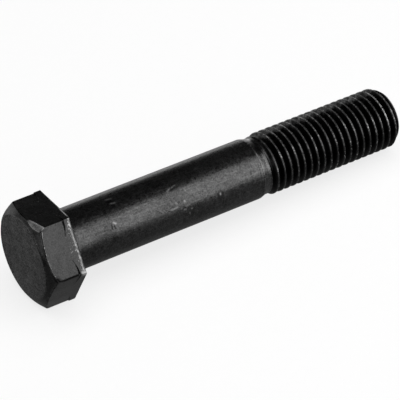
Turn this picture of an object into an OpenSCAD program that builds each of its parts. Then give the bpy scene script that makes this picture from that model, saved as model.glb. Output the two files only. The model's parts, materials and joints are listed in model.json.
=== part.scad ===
// Hex bolt with a plain shank and a rolled thread, in millimetres.
// The axis lies along X. The origin is the centre of the bearing face under the head, the head is on the
// -X side, the thread points to +X, and one pair of the head's flats is level, above and below.

/* [Head] */
// Width across the head's flats
across_flats = 29.8; // [27:0.1:33]
// Height of the head, from the bearing face to its top
head_height = 12.5; // [10:0.1:16]
// Diameter of the flat circle that the top chamfer leaves
top_circle_d = 26.8; // [22:0.1:27]
// Slope of the top chamfer, from the plane of the top
top_chamfer_angle = 33; // [15:1:35]
// Height of the sharp-cornered band at the back of the hexagon, behind the trimming tool's mark
band_height = 2.1; // [1:0.1:4]
// How far the relief in front of that band runs along each flat, from the corner
relief_run = 5.2; // [2:0.1:6]
// Slope of that relief, from the flat
relief_angle = 3; // [1:0.5:5]

/* [Bearing face] */
// How far the washer face stays inside the flats
washer_face_inset = 0.95; // [0.3:0.05:1.5]
// Height of the washer face
washer_face_height = 0.7; // [0.4:0.05:0.9]
// Radius of the fillet between the bearing face and the shank
fillet_r = 0.8; // [0.4:0.1:1.2]

/* [Shank] */
// Diameter of the plain shank
shank_d = 19.6; // [19.1:0.05:20]
// Length of the bolt, from the bearing face to its end
bolt_length = 120; // [90:1:200]
// Length of the taper from the shank down to the rolling blank
shoulder_length = 2; // [0.5:0.1:4]
// Bare length of the rolling blank before the thread starts
neck_length = 1.2; // [0.4:0.1:4]

/* [Thread] */
// Outside diameter of the thread
major_d = 19.95; // [19.6:0.05:20]
// Pitch of the thread
pitch = 2.5; // [2:0.25:3]
// Length of the full thread, with the point
thread_length = 46.5; // [30:0.5:60]
// Length over which the first turn rises from the blank
runout_length = 2.5; // [1:0.1:5]
// Slope of the point's chamfer, from the axis
point_angle = 45; // [30:1:60]
// How far the point's end face stays inside the root of the thread
point_inset = 0.2; // [0.1:0.05:1]
// Turn of the thread about the axis, in degrees
thread_turn = 9; // [0:1:359]
// Number of sides in one turn of the thread
turn_sides = 36; // [24:4:40]

/* [Hidden] */

black_steel = "#2b2c2f";
round_sides = 96;

// Hexagon. Each side spans twice this angle.
half_side_angle = 30;
flat_r = across_flats / 2;
side_length = across_flats * tan(half_side_angle);
band_front = -washer_face_height - band_height;
hex_height = head_height - washer_face_height;
relief_start = side_length / 2 - relief_run;
relief_flat_r = flat_r * cos(relief_angle) + relief_start * sin(relief_angle);

// Bearing face
washer_face_d = across_flats - 2 * washer_face_inset;
shank_r = shank_d / 2;

// Stations along the axis, from the bearing face
thread_start = bolt_length - thread_length - runout_length;
neck_start = thread_start - neck_length;
shoulder_start = neck_start - shoulder_length;

// Thread profile of the metric standard: a sharp V, cut flat at the crest over an eighth of the pitch and
// rounded at the root. The blank that it is rolled on has the pitch diameter.
flank_angle = 30;
sharp_height = pitch / 2 / tan(flank_angle);
crest_r = major_d / 2;
blank_r = crest_r - sharp_height * 3 / 8;
root_r = crest_r - sharp_height * 17 / 24;
end_r = root_r - point_inset;
crest_edge = pitch / 16;
flank_foot = pitch * 3 / 8;
foot_r = crest_r - (flank_foot - crest_edge) / tan(flank_angle);
// One pitch of the profile, as [distance from the middle of the crest, radius]
profile = [
    [-crest_edge, crest_r],
    [crest_edge, crest_r],
    [flank_foot, foot_r],
    [pitch / 2, root_r],
    [pitch - flank_foot, foot_r],
];

// The thread's surface is a grid. Its columns are straight sections through the axis, turn_sides of them a
// turn, and its rows follow the helix. Rows start a pitch before the thread and end a pitch after it.
knots = len(profile);
row_count = knots * (ceil((bolt_length - thread_start) / pitch) + 3);

// Distance along the axis at which a row crosses a column
function row_station(row, column) =
    thread_start + profile[row % knots][0] + pitch * (floor(row / knots) - 1 + column / turn_sides);

// Radius of the profile where it is cut down by the run-out and by the point's chamfer
function thread_r(radius, station) =
    let (risen = min(1, (station - thread_start) / runout_length))
    min(blank_r + (radius - blank_r) * risen, end_r + (bolt_length - station) * tan(point_angle));

// Point of the grid, held between the two ends of the thread
function grid_point(row, column) =
    let (station = min(bolt_length, max(thread_start, row_station(row, column))))
    let (radius = thread_r(profile[row % knots][1], station))
    let (angle = 360 * column / turn_sides)
    [radius * cos(angle), radius * sin(angle), station];

// Each column's last row at the start of the thread, and its first row at the end
first_row = [for (column = [0:turn_sides - 1])
    max([for (row = [0:row_count - 1]) if (row_station(row, column) <= thread_start) row])];
last_row = [for (column = [0:turn_sides - 1])
    min([for (row = [0:row_count - 1]) if (row_station(row, column) >= bolt_length) row])];

// Index of a grid point. A turn's last column meets its first, one pitch further on.
function grid_index(row, column) =
    column == turn_sides ? grid_index(row + knots, 0)
    : column * row_count + max(first_row[column], min(last_row[column], row));

start_centre = turn_sides * row_count;
end_centre = start_centre + 1;

function has_area(face) = face[0] != face[1] && face[1] != face[2] && face[2] != face[0];

module along_x() {
    rotate([0, 90, 0]) children();
}

// Hexagonal prism between two stations, with a flat facing local +X
module hex_prism(apothem, from, to, turn = 0) {
    translate([0, 0, from])
        rotate(half_side_angle + turn)
        cylinder(r = apothem / cos(half_side_angle), h = to - from, $fn = 6);
}

// The hexagon as trimmed, with flats that fall away a little towards the corners
module relieved_hexagon() {
    intersection() {
        hex_prism(flat_r, -head_height, -washer_face_height);
        hex_prism(relief_flat_r, -head_height, -washer_face_height, relief_angle);
        hex_prism(relief_flat_r, -head_height, -washer_face_height, -relief_angle);
    }
}

// Cone that trims the hexagon's top corners
module top_chamfer() {
    top_r = top_circle_d / 2;
    translate([0, 0, -head_height])
        cylinder(r1 = top_r, r2 = top_r + hex_height / tan(top_chamfer_angle), h = hex_height, $fn = round_sides);
}

// Its disc reaches up into the hexagon, so that the two are one solid
module washer_face() {
    translate([0, 0, -head_height / 2])
        cylinder(d = washer_face_d, h = head_height / 2, $fn = round_sides);
}

module fillet() {
    rotate_extrude($fn = round_sides)
        difference() {
            square([shank_r + fillet_r, fillet_r]);
            translate([shank_r + fillet_r, fillet_r]) circle(fillet_r, $fn = round_sides);
        }
}

module head() {
    color(black_steel)
    along_x() {
        intersection() {
            union() {
                relieved_hexagon();
                hex_prism(flat_r, band_front, -washer_face_height);
            }
            top_chamfer();
        }
        washer_face();
        fillet();
    }
}

module shank() {
    color(black_steel)
    along_x()
        translate([0, 0, fillet_r])
        cylinder(r = shank_r, h = shoulder_start - fillet_r, $fn = round_sides);
}

module neck() {
    color(black_steel)
    along_x()
        rotate_extrude($fn = round_sides)
        polygon([
            [0, shoulder_start],
            [shank_r, shoulder_start],
            [blank_r, neck_start],
            [blank_r, thread_start],
            [0, thread_start],
        ]);
}

module thread() {
    points = [
        for (column = [0:turn_sides - 1], row = [0:row_count - 1]) grid_point(row, column),
        [0, 0, thread_start],
        [0, 0, bolt_length],
    ];
    wall = [
        for (column = [0:turn_sides - 1], row = [0:row_count - 2])
        let (near = grid_index(row, column), far = grid_index(row + 1, column + 1))
        each [
            [near, grid_index(row + 1, column), far],
            [near, far, grid_index(row, column + 1)],
        ]
    ];
    ends = [
        for (column = [0:turn_sides - 1])
        each [
            [start_centre, grid_index(0, column), grid_index(0, column + 1)],
            [end_centre, grid_index(row_count, column + 1), grid_index(row_count, column)],
        ]
    ];
    color(black_steel)
    along_x()
        rotate(thread_turn)
        polyhedron(points, [for (face = concat(wall, ends)) if (has_area(face)) face]);
}

head();
shank();
neck();
thread();
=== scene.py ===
# The looks of the hex bolt: a finer mesh for each CAD node, black steel, a plain studio and the camera.
# Mesh code works in millimetres, and make_piece turns its points into metres. The axis of the bolt is X, and
# angles round it run from +Y towards +Z.
import json
import math

import bpy
import numpy as np
from mathutils import Matrix, Vector, noise
from mathutils.bvhtree import BVHTree


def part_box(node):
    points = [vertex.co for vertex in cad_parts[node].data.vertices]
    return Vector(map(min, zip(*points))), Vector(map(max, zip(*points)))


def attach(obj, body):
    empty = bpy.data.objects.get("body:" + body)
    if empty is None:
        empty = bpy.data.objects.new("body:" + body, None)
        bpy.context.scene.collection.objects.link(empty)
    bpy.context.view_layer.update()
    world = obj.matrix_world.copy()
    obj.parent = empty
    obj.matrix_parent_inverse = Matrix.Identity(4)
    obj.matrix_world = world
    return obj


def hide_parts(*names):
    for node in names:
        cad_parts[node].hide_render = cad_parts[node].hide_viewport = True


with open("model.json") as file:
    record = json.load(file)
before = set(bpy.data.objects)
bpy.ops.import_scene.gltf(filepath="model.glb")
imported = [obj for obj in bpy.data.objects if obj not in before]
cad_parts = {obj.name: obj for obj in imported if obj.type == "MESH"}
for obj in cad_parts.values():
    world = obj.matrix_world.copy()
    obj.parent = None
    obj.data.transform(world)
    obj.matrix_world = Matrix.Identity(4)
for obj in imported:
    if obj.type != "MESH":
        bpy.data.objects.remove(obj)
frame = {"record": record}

MM = 0.001
TURN = 2 * math.pi
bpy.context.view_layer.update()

# ---------------------------------------------------------------- image points, in the photo's frame
FRAME_SIDE = 400
OBJECT_EDGES = {"left": 0.7, "right": 399.7, "top": 89.8, "bottom": 309.8}
REAR_CORNERS = {
    "head_rear_corner_upper": (40.7, 190.4),
    "head_rear_corner_right": (69.8, 217.0),
    "head_rear_corner_lower": (87.0, 272.3),
}
FRONT_CORNERS = {
    "head_front_corner_upper": (13.5, 201.0),
    "head_front_corner_right": (42.3, 228.5),
    "head_front_corner_lower": (60.6, 284.8),
}
NICK_POINTS = {
    "nick_near_head": (114.0, 224.5),
    "nick_above_it": (110.9, 201.4),
    "nick_upper_middle": (170.0, 189.0),
    "nick_lower_middle": (174.5, 208.5),
    "nick_near_neck": (220.6, 194.2),
}
SHOULDER_POINTS = {"shoulder_edge_upper": (252.4, 148.2), "shoulder_edge_middle": (263.3, 169.2)}

# ---------------------------------------------------------------- sizes, in millimetres
mounts = {mount["name"]: mount for mount in frame["record"]["mounts"]}
head_low, head_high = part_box("head")
neck_low, neck_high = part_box("neck")
thread_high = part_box("thread")[1]
FLAT_R = head_high.z / MM
HEAD_HEIGHT = -head_low.x / MM
FILLET_R = head_high.x / MM
SHANK_R = mounts["shank"]["dims"]["r_mm"]
SHOULDER_START = neck_low.x / MM
THREAD_START = neck_high.x / MM
BOLT_LENGTH = thread_high.x / MM

# Sizes that the frame doesn't give, as in the part's source
TOP_CIRCLE_R = 13.4
CHAMFER_SLOPE = math.tan(math.radians(33))
WASHER_R = 13.95
WASHER_HEIGHT = 0.7
BAND_HEIGHT = 2.1
RELIEF_ANGLE = math.radians(3)
RELIEF_RUN = 5.2
SHOULDER_LENGTH = 2.0
PITCH = 2.5
CREST_R = 9.975
THREAD_PHASE = 81 / 360
POINT_INSET = 0.2

# Each side of the hexagon spans twice HALF_SIDE. The trimming mark behind each flat is a slight curve. The
# thread's point is a little flatter than the solid's.
HALF_SIDE = math.radians(30)
SIDE_HALF_WIDTH = FLAT_R * math.tan(HALF_SIDE)
BAND_CURVE = 0.045
POINT_SLOPE = 0.8

FLANK_SLOPE = math.tan(math.radians(30))
SHARP_HEIGHT = PITCH / 2 / FLANK_SLOPE
BLANK_R = CREST_R - SHARP_HEIGHT * 3 / 8
ROOT_R = CREST_R - SHARP_HEIGHT * 17 / 24
END_R = ROOT_R - POINT_INSET

# ---------------------------------------------------------------- camera
CAMERA_PLACE = Vector((-0.2896, -0.5372, 0.4424))
CAMERA_FORWARD = Vector((0.43711, 0.69151, -0.57511)).normalized()
CAMERA_UP = Vector((0.33178, 0.47037, 0.81773))
CAMERA_LENS = 227.3
SENSOR_WIDTH = 36
SHIFT = (0.0, 0.0)
right = CAMERA_FORWARD.cross(CAMERA_UP).normalized()
CAMERA_AXES = Matrix((right, right.cross(CAMERA_FORWARD), -CAMERA_FORWARD)).transposed()

camera_data = bpy.data.cameras.new("camera")
camera_data.sensor_fit = "AUTO"
camera_data.sensor_width = SENSOR_WIDTH
camera_data.lens = CAMERA_LENS
camera_data.shift_x, camera_data.shift_y = SHIFT
camera_data.clip_start = 0.05
camera_data.clip_end = 20
camera = bpy.data.objects.new("camera", camera_data)
bpy.context.scene.collection.objects.link(camera)
bpy.context.scene.camera = camera
camera.matrix_world = Matrix.Translation(CAMERA_PLACE) @ CAMERA_AXES.to_4x4()


def image_ray(x, y):
    """Direction in the scene of a point of the photo's frame."""
    return CAMERA_AXES @ Vector((
        x - FRAME_SIDE / 2 + SHIFT[0] * FRAME_SIDE,
        FRAME_SIDE / 2 - y + SHIFT[1] * FRAME_SIDE,
        -FRAME_SIDE * CAMERA_LENS / SENSOR_WIDTH,
    )).normalized()


def place_on(tree, x, y):
    """Where a point of the photo's frame meets a surface, in metres, or the place nearest its ray."""
    way = image_ray(x, y)
    hit = tree.ray_cast(CAMERA_PLACE, way)[0]
    if hit is None:
        tries = [tree.find_nearest(CAMERA_PLACE + way * (0.5 + 0.0005 * step)) for step in range(1000)]
        hit = min(tries, key=lambda found: found[3])[0]
    return hit


def image_of(points):
    """Places of points, in metres, in the photo's frame."""
    local = (np.asarray(points) - np.array(CAMERA_PLACE)) @ np.array(CAMERA_AXES)
    scale = FRAME_SIDE * CAMERA_LENS / SENSOR_WIDTH / -local[:, 2]
    return np.stack([
        FRAME_SIDE / 2 - SHIFT[0] * FRAME_SIDE + local[:, 0] * scale,
        FRAME_SIDE / 2 + SHIFT[1] * FRAME_SIDE - local[:, 1] * scale,
    ], axis=-1)


# ---------------------------------------------------------------- helpers
def smooth_min(a, b, reach):
    """The smaller of a and b, rounded where they are within reach of each other."""
    near = np.maximum(reach - np.abs(a - b), 0) / reach
    return np.minimum(a, b) - near * near * reach / 4


def smooth_max(a, b, reach):
    return -smooth_min(-a, -b, reach)


def smooth_step(low, high, value):
    share = np.clip((value - low) / (high - low), 0, 1)
    return share * share * (3 - 2 * share)


def between(low, high, value, fade):
    """1 from low to high, and fading to 0 on both sides."""
    return smooth_step(low - fade, low, value) * (1 - smooth_step(high, high + fade, value))


def wander(points, scale, seed):
    """Smooth noise from about -1 to 1 at each point, with features about scale millimetres across."""
    shift = Vector((17.3 * seed, -9.1 * seed, 5.7 * seed))
    return np.array([noise.noise(Vector(p) / scale + shift) for p in points])


def round_points(stations, radii, angles):
    x = np.broadcast_to(stations, radii.shape)
    return np.stack([x, radii * np.cos(angles), radii * np.sin(angles)], axis=-1)


def make_piece(name, points, faces, node, material, **looks):
    """One piece of the bolt, in place of a CAD node. Its looks have a value for each point: wear is chipped
    down to bare metal and carries painted glints, rub is evenly bare metal and carries painted highlights,
    and shade darkens with dirt and painted shade; below 0 it lightens, with a thinner oxide in places and
    painted light in others."""
    mesh = bpy.data.meshes.new(name)
    mesh.from_pydata((np.asarray(points) * MM).tolist(), [], faces)
    for attribute, values in looks.items():
        mesh.attributes.new(attribute, "FLOAT", "POINT").data.foreach_set("value", values.astype(np.float32))
    mesh.shade_smooth()
    mesh.set_sharp_from_angle(angle=math.radians(50))
    mesh.materials.append(material)
    piece = bpy.data.objects.new(name, mesh)
    bpy.context.scene.collection.objects.link(piece)
    weighted = piece.modifiers.new("weighted_normals", "WEIGHTED_NORMAL")
    weighted.mode = "FACE_AREA"
    weighted.weight = 60
    weighted.keep_sharp = True
    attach(piece, "root")
    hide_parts(node)
    return piece


def ring_faces(rows, columns):
    """Faces of rings round the X axis, from -X to +X, with a point at each end after them."""
    first, last = rows * columns, rows * columns + 1
    faces = []
    for column in range(columns):
        far = (column + 1) % columns
        faces.append((first, far, column))
        for row in range(rows - 1):
            here, above = row * columns, (row + 1) * columns
            faces.append((here + column, here + far, above + far, above + column))
        faces.append((last, (rows - 1) * columns + column, (rows - 1) * columns + far))
    return faces


def bend(start, corner, end, steps):
    """Points of a rounded corner, between start and end, without the two themselves."""
    shares = np.arange(1, steps) / steps
    return [
        tuple((1 - s) ** 2 * a + 2 * s * (1 - s) * b + s * s * c for a, b, c in zip(start, corner, end))
        for s in shares
    ]


# ---------------------------------------------------------------- materials
class Nodes:
    """A material's nodes, made one call at a time."""

    def __init__(self, name):
        self.material = bpy.data.materials.new(name)
        self.material.use_nodes = True
        self.tree = self.material.node_tree
        self.tree.nodes.clear()

    def put(self, kind, inputs, **settings):
        """A node with its inputs, each of them a value or another node's socket."""
        node = self.tree.nodes.new("ShaderNode" + kind)
        for key, value in settings.items():
            setattr(node, key, value)
        for key, value in inputs.items():
            if isinstance(value, bpy.types.NodeSocket):
                self.tree.links.new(value, node.inputs[key])
            else:
                node.inputs[key].default_value = value
        return node

    def math(self, operation, *values):
        return self.put("Math", dict(enumerate(values)), operation=operation).outputs[0]

    def centred(self, value):
        """A noise, which is about 0.5, turned into one about 0."""
        return self.math("SUBTRACT", value, 0.5)

    def ramp(self, value, low, high, start=0.0, end=1.0):
        """value from low to high, turned into start to end and held there."""
        inputs = {"Value": value, "From Min": low, "From Max": high, "To Min": start, "To Max": end}
        return self.put("MapRange", inputs, interpolation_type="SMOOTHSTEP").outputs[0]

    def noise(self, place, size, detail=2.0, roughness=0.5, stretch=(1, 1, 1)):
        """Noise with features about size millimetres across, times stretch along each axis."""
        scale = tuple(1 / value for value in stretch)
        mapped = self.put("Mapping", {"Vector": place, "Scale": scale}).outputs[0]
        inputs = {"Vector": mapped, "Scale": 1 / (size * MM), "Detail": detail, "Roughness": roughness}
        return self.put("TexNoise", inputs).outputs[0]

    def finish(self, surface):
        self.put("OutputMaterial", {"Surface": surface})
        return self.material


# Base colour of the oxide, of full dirt and painted shade, and what bare metal adds to it
OXIDE_TONE = 0.1
DIRT_AND_SHADE_TONE = 0.005
BARE_GAIN = 0.5


def black_steel():
    """Steel with a thin black oxide: half glossy, mottled, scratched lengthwise, and bare on its edges."""
    nodes = Nodes("black_steel")
    place = nodes.put("TexCoord", {}).outputs["Object"]
    along = nodes.put("SeparateXYZ", {"Vector": place}).outputs["X"]
    wear = nodes.put("Attribute", {}, attribute_name="wear").outputs["Fac"]
    shade = nodes.put("Attribute", {}, attribute_name="shade").outputs["Fac"]
    rub = nodes.put("Attribute", {}, attribute_name="rub").outputs["Fac"]
    across = nodes.put("VectorMath", {0: place, 1: (0, 1, 1)}, operation="MULTIPLY").outputs[0]
    off_axis = nodes.put("VectorMath", {0: across}, operation="LENGTH").outputs["Value"]

    # The shank is drawn, the neck and the thread have fine rings, and the head's top is stamped.
    drawn = nodes.ramp(off_axis, (WASHER_R - 0.15) * MM, (WASHER_R + 0.45) * MM, 1.0, 0.0)
    turned = nodes.ramp(along, (SHOULDER_START - 9.8) * MM, (SHOULDER_START + 0.2) * MM)
    stamped = nodes.ramp(along, (0.05 - HEAD_HEIGHT) * MM, (0.3 - HEAD_HEIGHT) * MM, 2.1, 1.0)

    patches = nodes.noise(place, 6.0, 3.0, 0.6)
    mottle = nodes.noise(place, 1.3, 3.0, 0.65)
    grain = nodes.noise(place, 0.4, 1.0)
    specks = nodes.ramp(nodes.noise(place, 0.6, 2.0, 0.6), 0.6, 0.72)
    streaks = nodes.ramp(nodes.noise(place, 0.4, 1.0, stretch=(30, 1, 1)), 0.6, 0.7)
    scratches = nodes.math("MULTIPLY", streaks, drawn)
    grooves = nodes.noise(place, 0.25, 1.0, stretch=(1, 40, 40))
    rings = nodes.math("MULTIPLY", nodes.centred(grooves), turned)

    # How far the oxide's tone is from 1. The flats are smoother than the shank, and the top is the roughest.
    uneven = nodes.math("MULTIPLY", nodes.centred(patches), 0.75)
    uneven = nodes.math("MULTIPLY_ADD", nodes.centred(mottle), 1.1, uneven)
    grain_share = nodes.math("MULTIPLY_ADD", drawn, 0.5, 1.4)
    uneven = nodes.math("MULTIPLY_ADD", nodes.centred(grain), grain_share, uneven)
    uneven = nodes.math("MULTIPLY_ADD", scratches, 0.45, uneven)
    uneven = nodes.math("MULTIPLY_ADD", specks, -0.2, uneven)
    contrast = nodes.math("MULTIPLY", nodes.math("MULTIPLY_ADD", drawn, 0.25, 0.75), stamped)
    tone = nodes.math("MULTIPLY_ADD", uneven, contrast, 1.0)
    tone = nodes.math("MULTIPLY_ADD", rings, 1.8, tone)
    # Painted light: the steel is painted lighter along the shank, from the head towards the shoulder.
    tone = nodes.math("MULTIPLY", tone, nodes.ramp(along, 0.0, (SHOULDER_START - 1.8) * MM, 0.88, 1.08))
    tone = nodes.math("MAXIMUM", tone, 0.15)
    shaded = nodes.math("MULTIPLY_ADD", shade, DIRT_AND_SHADE_TONE - OXIDE_TONE, OXIDE_TONE)
    tone = nodes.math("MULTIPLY", tone, shaded)

    # Bare metal is lighter, and a little less like a mirror. Painted highlights and glints are made as bare
    # metal.
    chips = nodes.math("MULTIPLY_ADD", nodes.noise(place, 0.55, 2.0, 0.7), 1.6, -0.8)
    chipped = nodes.ramp(nodes.math("ADD", wear, chips), 0.27, 0.75)
    rubbed = nodes.math("MULTIPLY", rub, nodes.ramp(mottle, 0.3, 0.7, 0.8, 1.2))
    bare = nodes.math("MAXIMUM", chipped, rubbed)
    colour = nodes.math("MULTIPLY_ADD", bare, BARE_GAIN, tone)

    height = nodes.math("MULTIPLY_ADD", grain, 0.7, mottle)
    height = nodes.math("MULTIPLY_ADD", scratches, -0.12, height)
    height = nodes.math("MULTIPLY_ADD", rings, 0.5, height)
    bump = nodes.put("Bump", {"Strength": 0.42, "Distance": 0.08 * MM, "Height": height})
    shader = nodes.put("BsdfPrincipled", {
        "Base Color": nodes.put("CombineColor", {0: colour, 1: colour, 2: colour}).outputs[0],
        "Metallic": nodes.ramp(bare, 0.0, 1.0, 1.0, 0.6),
        "Roughness": nodes.ramp(mottle, 0.3, 0.7, 0.26, 0.36),
        "Normal": bump.outputs[0],
    })
    return nodes.finish(shader.outputs[0])


# ---------------------------------------------------------------- head
# The hexagon's corners are at 0, 60, 120 degrees and so on. The flat from 60 to 120 is the upper one, the
# flat from 120 to 180 faces the camera, and the flat from 180 to 240 is seen below that.

# The knock on the upper flat's front edge: angle round the axis in degrees, and depth along the axis
KNOCK = ((100.5, 104, 108, 113, 118, 120, 122.3, 124), (0, 0.3, 0.55, 0.78, 0.86, 0.82, 0.34, 0))
# Painted highlights on the worn rear edge: angle round the axis, and half width, both in degrees
RIDGE_HIGHLIGHTS = {126.4: 2.0, 141.2: 0.8, 148.7: 1.2, 155.7: 0.8, 163.2: 0.9, 175.5: 1.1}
# Painted light and shade at the edge of the top's flat circle, round the axis, and in its middle
TOP_SHADE = ((0, 60, 125, 143, 153, 205, 240, 360), (-0.95, -1.15, -1.05, -0.95, -0.4, -0.4, -0.85, -0.95))
TOP_MIDDLE_SHADE = -0.95
# Dirt and painted shade on the chamfer, round the axis
CONE_DIRT_AND_SHADE = (
    (0, 40, 56, 86, 98, 106, 128, 134, 146, 152, 158, 164, 182, 205, 250, 360),
    (0.6, 0.7, 0.84, 0.75, 0.4, 0.3, 0.25, 0.4, 0.55, 0.75, 0.68, 0.3, 0.3, 0.45, 0.6, 0.6),
)


def off_flat(angles):
    """Angle from the middle of the nearest flat. One flat faces +Z."""
    return angles % (2 * HALF_SIDE) - HALF_SIDE


def hexagon_radius(angles, apothem, turn=0.0):
    """Distance from the axis to a hexagon that has a flat towards +Z, in each direction."""
    return apothem / np.cos(off_flat(angles - turn))


def chamfer_station(radius):
    """Where along the axis the top chamfer has a radius."""
    return -HEAD_HEIGHT + (radius - TOP_CIRCLE_R) * CHAMFER_SLOPE


def head_columns():
    """Directions round the head: close together at the corners, where the edges are rounded."""
    half = [0, 0.1, 0.2, 0.32, 0.46, 0.64, 0.9, 1.3, 1.9, 2.8, 3.8, 4.8, 5.8, 6.8, 7.8, 9, 10.2, 11.4, 12.6]
    half += [13.8, 15, 16.4, 17.8, 19.2, 20.6, 22, 23.6, 25.2, 26.8, 28.4]
    side = half + [30] + [60 - angle for angle in reversed(half[1:])]
    return np.radians([60 * corner + angle for corner in range(6) for angle in side])


class Head:
    """The head as rings round the axis, from its fillet to the middle of its top. What differs round the head
    is an array, with a value for each direction of head_columns."""

    def __init__(self):
        self.angles = head_columns()
        self.degrees = degrees = np.degrees(self.angles)
        self.ones = np.ones_like(self.angles)
        self.rim = round_points(0 * self.ones, FLAT_R * self.ones, self.angles)
        self.from_corner = SIDE_HALF_WIDTH - np.abs(FLAT_R * np.tan(off_flat(self.angles)))
        self.rings = []

        # Radius of the hexagon behind the trimming mark (full) and in front of it (relieved)
        blunt_corner = (FLAT_R - 0.03) / math.cos(HALF_SIDE) * self.ones
        self.full = smooth_min(hexagon_radius(self.angles, FLAT_R), blunt_corner, 0.12)
        relief_start = SIDE_HALF_WIDTH - RELIEF_RUN
        relief_r = FLAT_R * math.cos(RELIEF_ANGLE) + relief_start * math.sin(RELIEF_ANGLE)
        self.relieved = self.full
        for turn in (RELIEF_ANGLE, -RELIEF_ANGLE):
            self.relieved = smooth_min(self.relieved, hexagon_radius(self.angles, relief_r, turn), 0.02)
        self.mark = -WASHER_HEIGHT - BAND_HEIGHT - BAND_CURVE * self.from_corner ** 2

        # The front edge is knocked flat at the corner at 120 degrees. The knock ends in a dark nick.
        knock = np.interp(degrees, *KNOCK)
        worn_corners = 0.25 * np.exp(-(self.from_corner / 1.4) ** 2) * (1 - between(90, 150, degrees, 3))
        flat_end = chamfer_station(self.relieved) + 0.1 + worn_corners
        self.flat_end = flat_end + knock * (1 - smooth_step(120, 121.5, degrees))
        self.chamfer_r = self.relieved - 0.1 - 1.25 * knock
        nick = between(122, 122.5, degrees, 0.5)
        self.knocked = between(102, 121.5, degrees, 3.5) * (1 - nick)

        # The flats carry painted shade, less on the flats above and below the camera's. The nick and the
        # corner at 180 degrees are darkened up to a shade of 1, which is the darkest.
        self.flat_shade = 0.27 - 0.6 * between(60.5, 119.5, degrees, 0.5)
        self.flat_shade -= 0.83 * between(180.5, 239.5, degrees, 0.5)
        to_full = 1 - self.flat_shade
        by_lower_corner = between(172, 188, degrees, 3)
        self.corner_line = to_full * (1 - smooth_step(0.3, 0.75, self.from_corner)) * by_lower_corner
        above_corner = between(172, 179.3, degrees, 1)
        self.corner_spot = to_full * (1 - smooth_step(1.3, 2.4, self.from_corner)) * above_corner
        self.corner_spot = np.maximum(self.corner_spot, to_full * nick)
        self.worn_side = between(122, 178, degrees, 4)

    def ring(self, station, radius, wear=0.0, shade=None, rub=0.0):
        """The next ring and its looks. It has the flats' shade if none is given."""
        shade = self.flat_shade if shade is None else shade
        self.rings.append([value * self.ones for value in (station, radius, wear, shade, rub)])

    def corner(self, start, corner, end, steps, wear=0.0, shade=None):
        """A rounded corner with its two ends."""
        start, corner, end = ([value * self.ones for value in place] for place in (start, corner, end))
        for station, radius in [start] + bend(start, corner, end, steps) + [end]:
            self.ring(station, radius, wear, shade)

    def cone_shade(self, radius):
        """Dirt and painted shade on the chamfer: painted shade that differs round the axis, and dirt in
        streaks that run round it.
        """
        streaks = [2 * radius * self.ones, 6 * np.cos(self.angles), 6 * np.sin(self.angles)]
        dirt_and_shade = np.interp(self.degrees, *CONE_DIRT_AND_SHADE) + 0.3 * wander(np.stack(streaks, axis=-1), 1.0, 6)
        return np.clip(dirt_and_shade, 0, 1) * (1 - self.knocked * (radius > self.chamfer_r - 0.3))

    def bearing_side(self):
        """The fillet, the bearing face and the side of the washer face."""
        for turn in np.radians([0, 15, 30, 45, 60, 75, 90]):
            self.ring(FILLET_R * (1 - math.sin(turn)), SHANK_R + FILLET_R * (1 - math.cos(turn)), shade=0.3)
        for radius in (11.2, 12.2, 13.2):
            self.ring(0, radius)
        edge = 0.12
        self.corner((0, WASHER_R - edge), (0, WASHER_R), (-edge, WASHER_R), 3, wear=0.1)

    def rear_edge(self):
        """The hexagon's rear face and its edge, which is worn off unevenly on the side of the camera."""
        degrees, full, worn_side = self.degrees, self.full, self.worn_side
        rear = -WASHER_HEIGHT
        inner = WASHER_R + 0.05
        self.corner((rear + 0.05, WASHER_R), (rear, WASHER_R), (rear, inner), 2, shade=0.7)
        bevel = 0.14 + 0.5 * worn_side + (0.02 + 0.18 * worn_side) * wander(self.rim, 1.3, 1)
        edge_start = np.maximum(full - 0.75 * bevel, inner + 0.02)
        self.ring(rear, (inner + edge_start) / 2)

        # The ridge is worn bare, with painted highlights at its spots. The patch at the corner at 180 degrees
        # and the line along the upper flat are painted highlights.
        highlight_spots = sum(np.exp(-((degrees - angle) / half) ** 2) for angle, half in RIDGE_HIGHLIGHTS.items())
        ridge = worn_side * np.clip(0.38 + 0.5 * wander(self.rim, 0.8, 3) + 0.55 * highlight_spots, 0, 1)
        corner_highlight = between(178.5, 182.5, degrees, 2.5)
        bright = np.maximum(ridge, corner_highlight)
        changing = 0.2 * wander(self.rim, 1.5, 4)
        by_upper_corner = smooth_step(90, 108, degrees)
        upper_edge_highlight = between(62, 117, degrees, 2) * (0.1 + 0.9 * by_upper_corner + changing)

        bevel_end = rear - bevel
        middle = (rear - 0.1 * bevel, full - 0.06)
        end = (bevel_end + 0.16, full - 0.02)
        self.corner((rear, edge_start), middle, end, 4, 0.2 + changing + 0.5 * corner_highlight)
        self.ring(bevel_end + 0.16, full - 0.01, 0.3 * bright, rub=0.3 * bright)
        edge_rub = np.maximum(0.85 * bright, upper_edge_highlight)
        self.ring(bevel_end, full, 0.3 * (1 - worn_side) + 0.6 * ridge, rub=edge_rub)
        edge_rub = np.maximum(0.75 * bright, 0.6 * by_upper_corner * upper_edge_highlight)
        self.ring(bevel_end - 0.22, full, 0.6 * ridge, rub=edge_rub)
        for behind, chipped, rubbed in ((0.38, 0.35, 0.6), (0.7, 0.27, 0.7), (1.05, 0.15, 0.5)):
            self.ring(bevel_end - behind, full, chipped * worn_side, rub=rubbed * corner_highlight)

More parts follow.
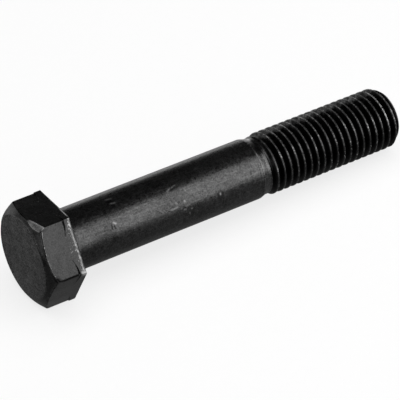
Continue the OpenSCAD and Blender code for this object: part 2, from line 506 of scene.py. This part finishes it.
    def trimming_mark(self):
        """The trimming tool's mark: a step at the corners, with dirt and painted shade in it, that fades out
        along the flat.
        """
        mark_dirt_and_shade = 1 - smooth_step(2.6, 4.2, self.from_corner)
        mark_dirt_and_shade = mark_dirt_and_shade * (0.25 + 0.75 * between(121, 179, self.degrees, 1))
        dirt_and_shade = self.flat_shade + (1 - self.flat_shade) * mark_dirt_and_shade
        self.ring(self.mark + 0.28, self.full, 0.1 * self.worn_side)
        self.ring(self.mark + 0.08, self.full)
        self.ring(self.mark + 0.04, self.full, shade=dirt_and_shade)
        self.ring(self.mark - 0.02, self.relieved, shade=dirt_and_shade)
        dirt_and_shade_end = self.mark - 0.3 - 0.25 * (1 - smooth_step(0.5, 2.5, self.from_corner))
        self.ring(dirt_and_shade_end, self.relieved, shade=dirt_and_shade)
        self.ring(dirt_and_shade_end - 0.06, self.relieved, shade=self.flat_shade + self.corner_line)

    def front_edge(self):
        """The flats as far as their front edge, and the chamfer's outer part with the knock in it."""
        degrees, relieved, knocked, flat_end = self.degrees, self.relieved, self.knocked, self.flat_end
        front_side = between(121, 173, degrees, 3)
        line = (0.22 + 0.25 * wander(self.rim, 1.2, 5)) * front_side
        worn_and_glinting = 0.42 * front_side + 0.3 * between(186, 240, degrees, 3)
        ragged = between(184, 238, degrees, 3) * wander(self.rim, 1.0, 14)
        # glow is painted light on the chamfer at these angles, and the tick by the corner at 124 degrees is a
        # painted highlight.
        glow = 0.17 * between(124, 136, degrees, 3) + 0.27 * between(151, 170, degrees, 3)
        glow += 0.3 * between(182, 197, degrees, 2) * np.clip(0.6 + 1.5 * ragged, 0, 1)
        corner_tick_highlight = between(123.4, 125.6, degrees, 0.8)

        flat_start = self.mark - 0.8
        near_end = flat_end + 0.25
        for share in (0, 0.45, 0.8):
            station = flat_start * (1 - share) + near_end * share
            self.ring(station, relieved, shade=self.flat_shade + self.corner_line)
        edge_shade = self.flat_shade + np.maximum(self.corner_spot, 1.6 * ragged)
        self.ring(near_end, relieved, 0.15 * worn_and_glinting, edge_shade)
        edge_rub = np.maximum(0.6 * knocked, 0.5 * corner_tick_highlight)
        self.ring(flat_end + 0.08, relieved, 0.7 * worn_and_glinting, edge_shade, edge_rub)
        edge_rub = np.maximum(0.72 * knocked, line + 0.3 * corner_tick_highlight)
        self.ring(flat_end, relieved - 0.01, worn_and_glinting, self.flat_shade + self.corner_spot, edge_rub)

        chamfer_r = self.chamfer_r
        chamfer_start = chamfer_station(chamfer_r)
        dirt_and_shade = np.maximum(self.cone_shade(relieved), self.corner_spot) + 1.6 * ragged
        for share, bare in ((0.15, 0.56), (0.4, 0.5), (0.65, 0.52), (0.88, 0.58)):
            station = flat_end * (1 - share) + chamfer_start * share
            radius = relieved * (1 - share) + chamfer_r * share
            self.ring(station, radius, 0.5 * worn_and_glinting * (1 - share), dirt_and_shade, np.maximum(bare * knocked, glow))
        dirt_and_shade = np.maximum(self.cone_shade(chamfer_r), self.corner_spot) + 1.6 * ragged
        lower_glow = glow * (degrees > 180)
        rubs = {0: 0.72 * knocked, 0.12: 0.55 * knocked, 0.25: 0.5 * glow, 0.45: 0.4 * lower_glow}
        for inward, rub in rubs.items():
            self.ring(chamfer_station(chamfer_r - inward), chamfer_r - inward, 0, dirt_and_shade, rub)

    def top(self):
        """The chamfer's inner part, its rounded edge, and the flat circle."""
        edge_round = 0.45
        cone_end_r = TOP_CIRCLE_R + edge_round
        for share in (0.2, 0.4, 0.6, 0.8):
            radius = (self.chamfer_r - 0.45) * (1 - share) + cone_end_r * share
            self.ring(chamfer_station(radius), radius, shade=self.cone_shade(radius))
        start = (chamfer_station(cone_end_r), cone_end_r)
        end = (-HEAD_HEIGHT, TOP_CIRCLE_R - edge_round)
        edge = [start] + bend(start, (-HEAD_HEIGHT, TOP_CIRCLE_R), end, 5) + [end]
        circle_shade = np.interp(self.degrees, *TOP_SHADE)
        for share, (station, radius) in zip(np.linspace(0, 1, len(edge)), edge):
            shade = (1 - share ** 2) * self.cone_shade(radius) + share ** 3 * circle_shade
            self.ring(station, radius, shade=shade)
        for radius in (12.6, 11.5, 10, 8, 6, 4, 2):
            outward = smooth_step(6, 13, radius)
            self.ring(-HEAD_HEIGHT, radius, shade=TOP_MIDDLE_SHADE * (1 - outward) + circle_shade * outward)

    def piece(self, material):
        stations, radii, *looks = np.array(self.rings)[::-1].transpose(1, 0, 2)
        points = round_points(stations, radii, self.angles).reshape(-1, 3)
        points = np.vstack([points, [-HEAD_HEIGHT, 0, 0], [FILLET_R, 0, 0]])
        wear, shade, rub = (np.append(values.ravel(), [0, 0]) for values in looks)
        shade[-2] = TOP_MIDDLE_SHADE
        faces = ring_faces(len(self.rings), len(self.angles))
        return make_piece("bolt_head", points, faces, "head", material, wear=wear, shade=shade, rub=rub)


def build_head(material):
    head = Head()
    head.bearing_side()
    head.rear_edge()
    head.trimming_mark()
    head.front_edge()
    head.top()
    return head.piece(material)


# ---------------------------------------------------------------- shank and neck
# How far behind the CAD nodes' limits the pieces meet, so that the shoulder's edge lies inside one piece
SEAM = 0.7
# Directions round the neck and the thread
COLUMNS = 160
ROUND_ANGLES = TURN * np.arange(COLUMNS) / COLUMNS


def plain_radius(station):
    """Radius of the shank, its shoulder and the bare neck."""
    slope = (SHANK_R - BLANK_R) / SHOULDER_LENGTH
    taper = SHANK_R - (station - SHOULDER_START) * slope
    return smooth_max(smooth_min(SHANK_R, taper, 0.1), BLANK_R, 0.15)


def rolled_points(stations, angles):
    """Points of the shank and neck, with the slight waves that drawing leaves on the shank."""
    radii = plain_radius(stations)[:, None] * np.ones(len(angles))
    points = round_points(stations[:, None], radii, angles).reshape(-1, 3)
    fade = 1 - smooth_step(SHOULDER_START - 7.8, SHOULDER_START - 1.8, points[:, 0])
    fade *= smooth_step(2, 6, points[:, 0])
    waves = fade * (0.016 * wander(points * (0.4, 1, 1), 3.2, 7) + 0.004 * wander(points, 1.3, 8))
    points[:, 1:] *= (1 + waves / np.hypot(points[:, 1], points[:, 2]))[:, None]
    return points


# Strokes of each nick: how far its middle is from the image point along the bolt and round it, its length and
# width, its direction from the axis in degrees, how deep it is, and how light it is, as bare metal with a
# painted highlight (below 0, how dark, as painted shade in the dent).
NICK_STROKES = {
    "nick_near_head": [
        (0.34, -0.31, 1.3, 0.45, 41, -0.02, 0.5),
        (-0.85, 0.59, 1.9, 0.4, 97, 0.05, -0.9),
        (-0.4, 0.65, 1.6, 0.25, 95, 0.0, 0.1),
        (0.03, 0.75, 1.3, 0.38, 92, 0.05, -0.9),
        (0.73, 1.6, 2.4, 0.3, 72, -0.02, 0.1),
    ],
    "nick_above_it": [
        (-0.33, -1.18, 2.4, 0.4, 8, -0.04, 0.48),
        (-0.46, 0.0, 2.2, 0.5, 8, 0.05, -0.8),
        (-0.04, 0.85, 2.0, 0.38, 8, -0.04, 0.5),
        (-0.3, 1.5, 1.2, 0.4, 8, 0.05, -0.8),
    ],
    "nick_upper_middle": [
        (-0.76, 0.07, 1.5, 0.28, -27, -0.02, 0.36),
        (0.99, -0.49, 2.2, 0.26, -11, -0.02, 0.34),
        (-1.26, 0.4, 0.4, 0.4, 0, 0.0, 0.5),
        (-0.56, -0.13, 0.5, 0.4, 0, 0.0, 0.42),
        (0.68, 0.1, 2.3, 0.45, -11, 0.05, -0.7),
    ],
    "nick_lower_middle": [
        (-0.05, 0.11, 2.8, 0.42, -2, -0.03, 0.25),
        (-0.3, -0.4, 1.0, 0.4, 0, 0.04, -0.8),
        (0.98, -1.43, 0.6, 0.6, 0, 0.0, 0.2),
        (3.96, -1.07, 0.8, 0.5, 90, 0.0, 0.33),
        (5.4, -4.2, 1.0, 0.4, 90, 0.0, 0.2),
        (-4.85, -0.34, 1.4, 0.3, 52, 0.03, -0.7),
        (-4.3, -0.32, 1.4, 0.28, 52, 0.0, 0.08),
        (-3.75, -0.3, 1.4, 0.3, 52, 0.03, -0.7),
        (-3.3, -0.28, 1.4, 0.28, 52, 0.0, 0.08),
        (-2.9, -0.27, 1.4, 0.3, 52, 0.03, -0.7),
        (3.5, 1.6, 1.2, 0.4, 0, 0.0, 0.45),
        (4.6, 0.68, 1.6, 0.4, 0, 0.0, 0.2),
        (5.9, 2.1, 0.9, 0.35, 0, 0.0, 0.45),
        (5.0, 3.3, 0.5, 0.5, 0, 0.0, 0.42),
    ],
    "nick_near_neck": [
        (0.0, 0.3, 2.4, 2.6, 0, 0.03, -0.65),
        (0.0, 0.0, 0.65, 0.65, 0, -0.03, 0.75),
        (-1.66, 0.2, 0.4, 0.4, 0, 0.0, 0.15),
        (0.4, 1.75, 0.4, 0.4, 0, 0.0, 0.2),
    ],
}


def nick_places():
    """Station and angle of each nick, where its image point meets the plain shank."""
    rows, columns = 60, 96
    angles = TURN * np.arange(columns) / columns
    points = rolled_points(np.linspace(FILLET_R, SHOULDER_START, rows), angles)
    faces = [face for face in ring_faces(rows, columns) if max(face) < len(points)]
    tree = BVHTree.FromPolygons([Vector(point * MM) for point in points], faces)
    hits = {name: place_on(tree, *point) / MM for name, point in NICK_POINTS.items()}
    return {name: (hit.x, math.atan2(hit.z, hit.y) % TURN) for name, hit in hits.items()}


def stroke_share(east, north, length, width, turn):
    """How far each place lies in a stroke, from 0 to 1."""
    turn = math.radians(turn)
    along = (east * math.cos(turn) + north * math.sin(turn)) / (length / 2)
    across = (north * math.cos(turn) - east * math.sin(turn)) / (width / 2)
    return np.exp(-0.7 * across ** 2) * (1 - smooth_step(0.7, 1.2, np.abs(along)))


# How far each point of the shank lies in each nick's marks, from 0 to 1
nick_marks = {}


def build_shank(material):
    """The shank with its nicks. It fills nick_marks."""
    rows, columns = 270, 240
    end = SHOULDER_START - SEAM
    stations = np.linspace(FILLET_R, end, rows)
    points = rolled_points(stations, TURN * np.arange(columns) / columns)
    around = np.arctan2(points[:, 2], points[:, 1]) % TURN
    # Fine bright flecks, a darker band next to the head, cloudy patches in the oxide, and painted shade low
    # on the side of the camera.
    rub = 0.2 * np.clip(wander(points * (0.6, 1, 1), 0.55, 23) - 0.15, 0, 1)
    shade = np.repeat(0.6 * (1 - smooth_step(FILLET_R, 1.4, stations)), columns)
    shade += 0.36 * wander(points * (0.4, 1, 1), 3.6, 24)
    shade += 0.17 * between(149, 164, np.degrees(around), 6)
    for name, (station, angle) in nick_places().items():
        marks = np.zeros(len(points))
        for east, north, length, width, turn, depth, bare in NICK_STROKES[name]:
            ahead = points[:, 0] - station - east
            beside = (around - angle) * SHANK_R - north
            share = stroke_share(ahead, beside, length, width, turn)
            points[:, 1:] *= (1 - depth * share / SHANK_R)[:, None]
            # Light strokes are bare metal with painted highlights, and dark ones are painted shade in their
            # dents.
            if bare > 0:
                rub = np.maximum(rub, bare * share)
            else:
                shade = np.maximum(shade, -bare * share)
            marks = np.maximum(marks, abs(bare) * share)
        nick_marks[name] = np.append(marks, [0, 0])
    points = np.vstack([points, [FILLET_R, 0, 0], [end, 0, 0]])
    rub, shade = (np.append(values, [0, 0]) for values in (rub, shade))
    faces = ring_faces(rows, columns)
    return make_piece("bolt_shank", points, faces, "shank", material, rub=rub, shade=shade)


def build_neck(material):
    """The shoulder's taper and the bare rolling blank behind the thread."""
    start, end = SHOULDER_START - SEAM, THREAD_START - SEAM
    stations = np.concatenate([[start], np.linspace(SHOULDER_START - 0.2, end - 0.1, 44), [end]])
    points = rolled_points(stations, ROUND_ANGLES)
    edge = np.exp(-((stations - SHOULDER_START) / 0.09) ** 2)
    rim = points[:COLUMNS]
    wear = (edge[:, None] * (0.34 + 0.35 * wander(rim, 1.2, 9))).ravel()
    # The foot of the taper has a painted highlight on its upper side.
    bright = 0.8 * np.exp(-((stations - SHOULDER_START - SHOULDER_LENGTH) / 1.3) ** 2)
    rub = bright[:, None] * between(30, 72, np.degrees(ROUND_ANGLES), 8)
    rub = np.maximum(rub, 0.2 * edge[:, None]).ravel()
    # The neck is painted lighter than the shank, apart from a strip of painted shade on top.
    on_neck = smooth_step(SHOULDER_START, SHOULDER_START + 0.4, stations)
    shade = (on_neck[:, None] * (0.9 * between(86, 120, np.degrees(ROUND_ANGLES), 7) - 0.3)).ravel()
    points = np.vstack([points, [start, 0, 0], [end, 0, 0]])
    wear, rub, shade = (np.append(values, [0, 0]) for values in (wear, rub, shade))
    faces = ring_faces(len(stations), COLUMNS)
    return make_piece("bolt_neck", points, faces, "neck", material, wear=wear, rub=rub, shade=shade)


# ---------------------------------------------------------------- thread
def thread_profile():
    """One pitch of the profile, from the middle of a crest: distance, radius, wear and shade. The crest has
    the shallow fold that rolling leaves along it. The shade darkens the fold and the groove, most at the
    root, with dirt and painted shade."""
    edge = PITCH / 16
    root_round = SHARP_HEIGHT / 6
    half = [
        (0.0, CREST_R - 0.035, 0.1, 0.5),
        (0.05, CREST_R - 0.022, 0.15, 0.3),
        (0.1, CREST_R - 0.002, 0.31, 0.0),
        (edge - 0.015, CREST_R - 0.006, 0.31, 0.0),
    ]
    for drop, wear, shade in ((0.06, 0.2, 0.05), (0.16, 0.0, 0.25), (0.28, 0.0, 0.75), (0.55, 0.0, 0.92)):
        half.append((edge + drop * FLANK_SLOPE, CREST_R - drop, wear, shade))
    for turn in np.radians([60, 40, 20, 0]):
        radius = ROOT_R + root_round * (1 - math.cos(turn))
        half.append((PITCH / 2 - root_round * math.sin(turn), radius, 0.0, 1.0))
    mirrored = [(PITCH - distance, *rest) for distance, *rest in reversed(half[1:-1])]
    return np.array(half + mirrored)


class Thread:
    """The thread as a grid. Its columns are sections through the axis, and its rows follow the helix. Arrays
    have a line for each column."""

    def __init__(self):
        profile = thread_profile()
        self.knots = len(profile)
        self.start = THREAD_START - SEAM
        self.rows = self.knots * (math.ceil((BOLT_LENGTH - self.start) / PITCH) + 4)
        row = np.arange(self.rows)
        self.distance, radii, self.crest_wear, self.dirt_and_shade = profile[row % self.knots].T
        turns = row // self.knots - 2 + (ROUND_ANGLES / TURN + THREAD_PHASE)[:, None]
        stations = THREAD_START + self.distance + PITCH * turns
        # Each column's last row at the thread's start, and its first row at the end
        self.first = (stations <= self.start).sum(axis=1) - 1
        self.last = self.rows - (stations >= BOLT_LENGTH).sum(axis=1)

        self.radii = np.broadcast_to(radii, stations.shape)
        self.angles = np.broadcast_to(ROUND_ANGLES[:, None], stations.shape)
        self.stations = np.clip(stations, self.start, BOLT_LENGTH)
        self.ridge = round_points(self.stations, self.radii, self.angles).reshape(-1, 3)
        self.uneven = 0.6 * self.wander(1.1, 10) + 0.4 * self.wander(4.0, 11)

        # The groove sets in within a quarter of a turn, and the crest rises over most of the first turn.
        self.rise = smooth_step(0.1, 0.8, turns + (self.distance > PITCH / 2))
        self.depth = smooth_step(0.0, 0.2, turns + 0.5)

    def wander(self, scale, seed, stretch=(1, 1, 1)):
        return wander(self.ridge * stretch, scale, seed).reshape(self.radii.shape)

    def grid(self):
        """Points of the grid, cut down by the run-out and by the point's chamfer."""
        raised = np.maximum(self.radii - BLANK_R, 0) * self.rise * (1 - 0.05 * np.abs(self.uneven))
        sunk = np.minimum(self.radii - BLANK_R, 0) * self.depth
        point_r = END_R + POINT_SLOPE * (BOLT_LENGTH - self.stations)
        body = smooth_min(BLANK_R + raised + sunk, point_r, 0.08)
        return round_points(self.stations, body, self.angles).reshape(-1, 3)

    def looks(self):
        """Bare places and painted glints come and go along the crest, and dirt and painted shade lie in the
        groove.
        """
        degrees = np.degrees(self.angles)
        # Painted light on the side away from the camera: more wear on the crests and less shade in the
        # grooves. Glints are weaker from 155 to 230 degrees.
        away = 1 - smooth_step(90, 130, degrees) * (1 - smooth_step(230, 300, degrees))
        lower = between(155, 230, degrees, 15)
        # The last full crest has a painted highlight, on the side of the camera.
        last_crest_highlight = between(BOLT_LENGTH - 5.8, BOLT_LENGTH - 4.2, self.stations, 0.3)
        last_crest_highlight = last_crest_highlight * between(88, 156, degrees, 8)
        glints = smooth_step(0.2, 0.5, self.wander(2.6, 12, (2.5, 1, 1))) + 1.3 * last_crest_highlight
        worn_and_glinting = 1 + 0.35 * away + 1.4 * self.uneven + 1.1 * glints * (1 - 0.7 * lower)
        groove_edge = between(0.4, 0.6, np.minimum(self.distance, PITCH - self.distance), 0.05)
        wear = self.crest_wear * self.rise * worn_and_glinting + 0.3 * groove_edge * (1 - self.rise) * self.depth
        # Crest lines from 84 to 118 degrees, and the last full crest, get painted highlights as evenly bare
        # metal.
        rub = 0.38 * between(84, 118, degrees, 12) + 0.3 * last_crest_highlight
        rub = rub * (self.crest_wear > 0.18) * self.rise

        dirt_and_shade = self.dirt_and_shade * np.where(self.radii > BLANK_R, self.rise, self.depth) * (1 - 0.52 * away)
        # Patches of painted light and shade from 64 to 98 degrees, and painted shade from 35 to 62 degrees.
        patches = 1.3 * between(64, 98, degrees, 12) * self.wander(1.2, 15)
        shade = np.clip(dirt_and_shade + patches + 0.35 * between(35, 62, degrees, 8), 0, 1)
        return {"wear": wear, "rub": rub, "shade": shade}

    def index(self, column, row):
        """Number of a grid point. Rows stop at both ends, and the last column meets the first a turn on."""
        if column == COLUMNS:
            column, row = 0, row + self.knots
        return column * self.rows + min(max(row, self.first[column]), self.last[column])

    def wall(self):
        faces = []
        for column in range(COLUMNS):
            for row in range(self.rows - 1):
                corners = [(column + 1, row), (column + 1, row + 1), (column, row + 1), (column, row)]
                corners = list(dict.fromkeys(self.index(*corner) for corner in corners))
                if len(corners) > 2:
                    faces.append(tuple(corners))
        return faces

    def ends(self, count):
        """Points and faces of the two ends, after count points. The one in the open is slightly dished."""
        columns = range(COLUMNS)
        points = [(self.start, 0, 0)]
        faces = [(count, self.index((column + 1) % COLUMNS, 0), self.index(column, 0)) for column in columns]
        rim = [self.index(column, self.rows) for column in columns]
        for radius, dish in ((END_R - 0.08, 0.0), (7.6, 0.02), (6.0, 0.06), (4.0, 0.1), (2.0, 0.12)):
            inner = [count + len(points) + column for column in columns]
            points += round_points(BOLT_LENGTH - dish, np.full(COLUMNS, radius), ROUND_ANGLES).tolist()
            for column in columns:
                far = (column + 1) % COLUMNS
                faces.append((rim[far], inner[far], inner[column], rim[column]))
            rim = inner
        tip = count + len(points)
        points.append((BOLT_LENGTH - dish, 0, 0))
        faces += [(rim[column], rim[(column + 1) % COLUMNS], tip) for column in columns]
        return points, faces

    def piece(self, material):
        grid = self.grid()
        end_points, end_faces = self.ends(len(grid))
        points = np.vstack([grid, end_points])
        faces = self.wall() + end_faces
        # Points of the grid beyond its two ends are in no face, and are left out.
        used = np.zeros(len(points), bool)
        used[[corner for face in faces for corner in face]] = True
        renumber = np.cumsum(used) - 1
        faces = [tuple(int(renumber[corner]) for corner in face) for face in faces]
        blank = np.zeros(len(end_points))
        looks = {name: np.append(values, blank)[used] for name, values in self.looks().items()}
        return make_piece("bolt_thread", points[used], faces, "thread", material, **looks)


steel = black_steel()
pieces = [build_head(steel), build_shank(steel), build_neck(steel), Thread().piece(steel)]

# ---------------------------------------------------------------- studio, in metres
# The bolt lies on its head's lower rear edge and on the thread's end, so the floor is tilted by this angle.
REST_ANGLE = math.atan2(FLAT_R - CREST_R, BOLT_LENGTH - PITCH + WASHER_HEIGHT)
BOLT_MIDDLE = Vector((BOLT_LENGTH / 2 * MM, 0, 0))


def floor_height(x):
    """Height of the floor at x, both in metres."""
    return -FLAT_R * MM + (x + WASHER_HEIGHT * MM) * math.tan(REST_ANGLE)


def stage_mesh(name, points, faces, material):
    mesh = bpy.data.meshes.new(name)
    mesh.from_pydata(points, [], faces)
    mesh.shade_smooth()
    mesh.materials.append(material)
    piece = bpy.data.objects.new(name, mesh)
    bpy.context.scene.collection.objects.link(piece)
    return piece


def floor_material():
    """Matt white paper. The camera and reflections see it as nearly plain white, with soft shadows left."""
    nodes = Nodes("floor")
    fibres = nodes.noise(nodes.put("TexCoord", {}).outputs["Object"], 3.0, 3.0)
    value = nodes.ramp(fibres, 0.2, 0.8, 0.94, 0.96)
    colour = nodes.put("CombineColor", {0: value, 1: value, 2: value}).outputs[0]
    path = nodes.put("LightPath", {})
    seen = nodes.math("MAXIMUM", path.outputs["Is Camera Ray"], path.outputs["Is Glossy Ray"])
    seen = nodes.math("MAXIMUM", seen, path.outputs["Is Transmission Ray"])
    share = nodes.math("MULTIPLY", seen, 0.78)
    paper = nodes.put("BsdfDiffuse", {"Color": colour}).outputs[0]
    glow = nodes.put("Emission", {"Color": (1, 1, 1, 1), "Strength": 1.0}).outputs[0]
    mix = nodes.put("MixShader", {"Fac": share, 1: paper, 2: glow})
    return nodes.finish(mix.outputs[0])


def build_floor():
    """A round sweep: flat under the bolt, and rising at its rim, so that it is pale up to the horizon."""
    flat_radius, rim_run, rim_height = 0.9, 0.5, 0.22
    rim_steps, sides = 12, 96
    curve = [step / rim_steps for step in range(1, rim_steps + 1)]
    radii = [0.001, 0.05, 0.2, 0.5, flat_radius] + [flat_radius + rim_run * share for share in curve]
    heights = [0] * 5 + [rim_height * (1 - math.cos(math.pi / 2 * share)) for share in curve]
    points = []
    for radius, height in zip(radii, heights):
        for side in range(sides):
            x = BOLT_MIDDLE.x + radius * math.cos(TURN * side / sides)
            points.append((x, radius * math.sin(TURN * side / sides), floor_height(x) + height))
    faces = [tuple(range(sides))]
    for ring in range(len(radii) - 1):
        for side in range(sides):
            here, far = ring * sides + side, ring * sides + (side + 1) % sides
            faces.append((here, here + sides, far + sides, far))
    stage_mesh("floor", points, faces, floor_material())


def build_card():
    """A dark card just above the floor round the bolt. Only mirror rays see it. It darkens the underside."""
    nodes = Nodes("dark_card")
    glow = nodes.put("Emission", {"Color": (0.15, 0.15, 0.15, 1), "Strength": 1.0})
    low_x, high_x, low_y, high_y = -0.35, 0.19, -0.2, 0.085
    lift = 0.0002
    corners = [(low_x, low_y), (high_x, low_y), (high_x, high_y), (low_x, high_y)]
    points = [(x, y, floor_height(x) + lift) for x, y in corners]
    card = stage_mesh("dark_card", points, [(0, 1, 2, 3)], nodes.finish(glow.outputs[0]))
    card.visible_camera = False
    card.visible_diffuse = False
    card.visible_shadow = False
    card.visible_transmission = False


def add_softbox(name, place, way, width, height, radiance, seen_in_metal=True):
    """A rectangular lamp at place, which shines against way, with its width level."""
    lamp = bpy.data.lights.new(name, "AREA")
    lamp.shape = "RECTANGLE"
    lamp.size = width
    lamp.size_y = height
    lamp.energy = radiance * math.pi * width * height
    box = bpy.data.objects.new(name, lamp)
    bpy.context.scene.collection.objects.link(box)
    box.location = place
    box.rotation_mode = "QUATERNION"
    box.rotation_quaternion = way.to_track_quat("Z", "Y")
    box.visible_camera = False
    box.visible_glossy = seen_in_metal


build_floor()
build_card()
world = bpy.data.worlds.new("studio")
world.use_nodes = True
world.node_tree.nodes["Background"].inputs["Color"].default_value = (0.05, 0.05, 0.05, 1)
bpy.context.scene.world = world
front = Vector((0.4, -0.676, 0.62)).normalized()
level = Vector((0.86, 0.51, 0))
up = Vector((0, 0, 1))
# The front softbox makes the highlights in the metal. The top one lights the paper, and no metal shows it.
front_place = BOLT_MIDDLE + front * 0.9 + level * 0.175 - up * 0.155
top_place = BOLT_MIDDLE + up * 1.2
add_softbox("softbox_front", front_place, front, width=1.15, height=0.8, radiance=1.4)
add_softbox("softbox_top", top_place, up, width=1.6, height=1.6, radiance=2.06, seen_in_metal=False)

bpy.context.scene.view_settings.view_transform = "Standard"

# ---------------------------------------------------------------- how far each image point is from what shows
finished = {}
for piece in pieces:
    coordinates = np.empty(len(piece.data.vertices) * 3, np.float32)
    piece.data.vertices.foreach_get("co", coordinates)
    finished[piece.name] = coordinates.reshape(-1, 3).astype(float)
everything = image_of(np.vstack(list(finished.values())))
shown = {
    "left": everything[:, 0].min(), "right": everything[:, 0].max(),
    "top": everything[:, 1].min(), "bottom": everything[:, 1].max(),
}
offsets = {edge: round(float(shown[edge] - value), 2) for edge, value in OBJECT_EDGES.items()}


def nearest_offset(points, x, y):
    """From an image point to the nearest of some finished points."""
    gaps = image_of(points) - (x, y)
    return [round(float(value), 2) for value in gaps[np.hypot(*gaps.T).argmin()]]


head_points = finished["bolt_head"]
shank_points = finished["bolt_shank"]
neck_points = finished["bolt_neck"]
outer = np.hypot(head_points[:, 1], head_points[:, 2]) > (FLAT_R / math.cos(math.radians(30)) - 0.35) * MM
around = np.degrees(np.arctan2(head_points[:, 2], head_points[:, 1])) % 360
for corners, end in ((REAR_CORNERS, np.argmax), (FRONT_CORNERS, np.argmin)):
    for angle, (name, (x, y)) in zip((60, 120, 180), corners.items()):
        edge = head_points[outer & (np.abs(around - angle) < 0.5)]
        offsets[name] = nearest_offset(edge[end(edge[:, 0])][None], x, y)
for name, (x, y) in NICK_POINTS.items():
    middle = np.average(image_of(shank_points), axis=0, weights=nick_marks[name])
    offsets[name] = [round(float(value), 2) for value in middle - (x, y)]
for name, (x, y) in SHOULDER_POINTS.items():
    edge = neck_points[np.abs(neck_points[:, 0] - SHOULDER_START * MM) < 0.05 * MM]
    offsets[name] = nearest_offset(edge, x, y)
